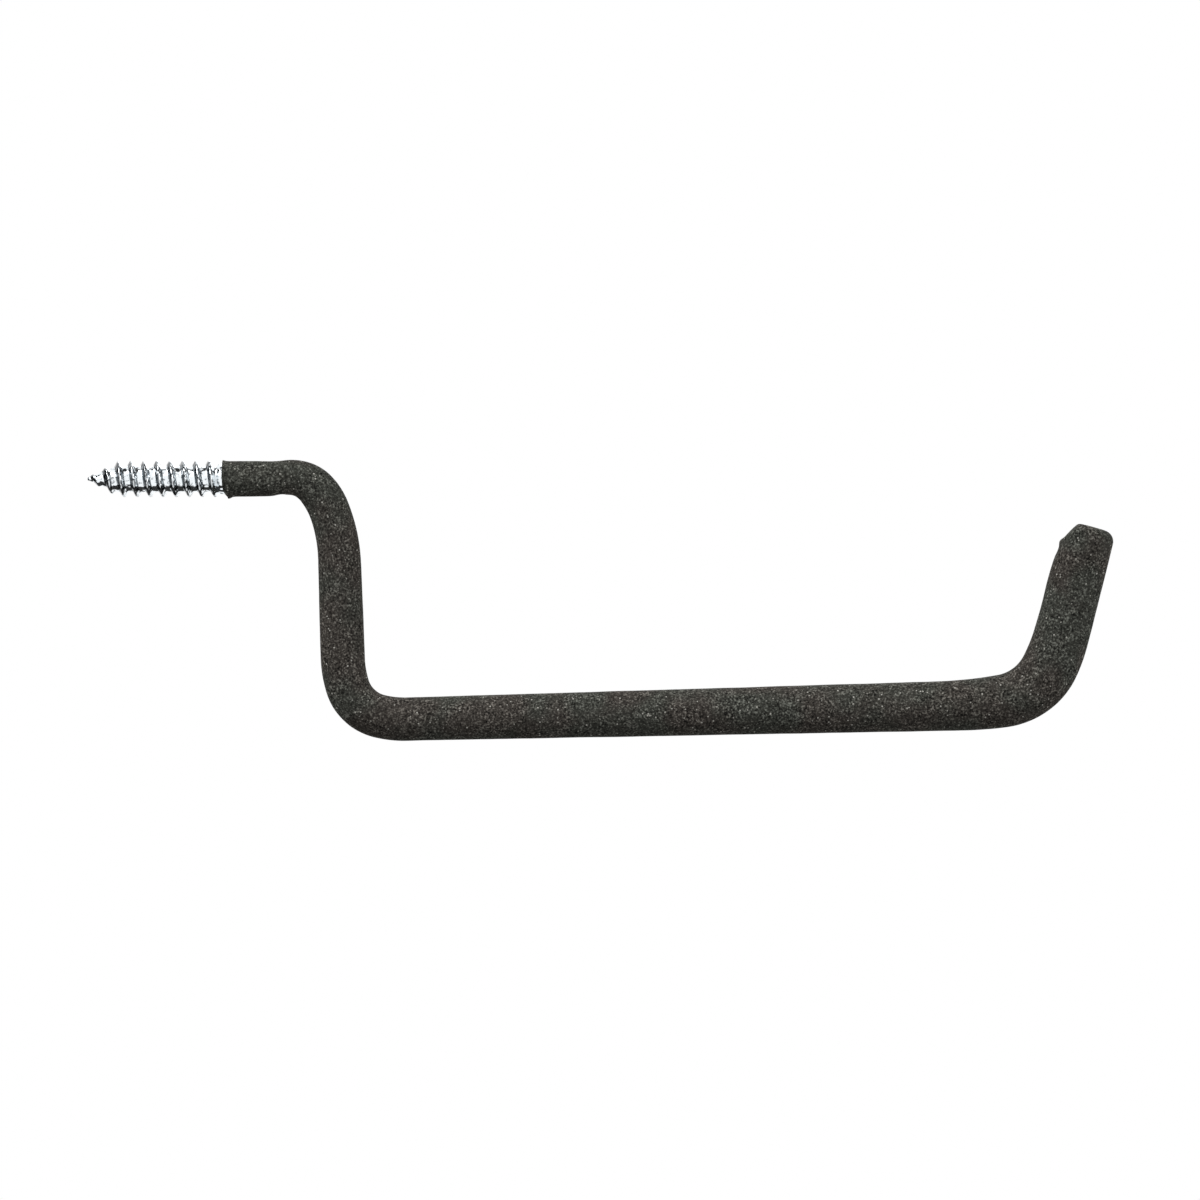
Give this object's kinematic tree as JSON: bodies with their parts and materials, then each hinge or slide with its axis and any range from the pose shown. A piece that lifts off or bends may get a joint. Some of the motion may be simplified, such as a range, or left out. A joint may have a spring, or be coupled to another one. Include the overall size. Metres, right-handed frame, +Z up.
{
  "type": "ladder hook",
  "caption": "Screw-in storage hook: a bent steel rod with a lag screw at one end, dipped in grippy vinyl, that holds a ladder's rail in a long upturned cradle.",
  "frame": {"origin": "on the screw's axis, where the coat's mouth crosses it", "axes": "-X along the screw, into the wall; +X along the hook's reach; +Z up, the way the cradle opens; +Y across the hook"},
  "size_m": [0.223, 0.0125, 0.0611],
  "materials": {
    "zinc_plate": "bright zinc plate",
    "vinyl": "matte dipped vinyl with a fine grain"
  },
  "bodies": {
    "root": {"steel_rod": "zinc_plate", "vinyl_coating": "vinyl"}
  },
  "joints": []
}
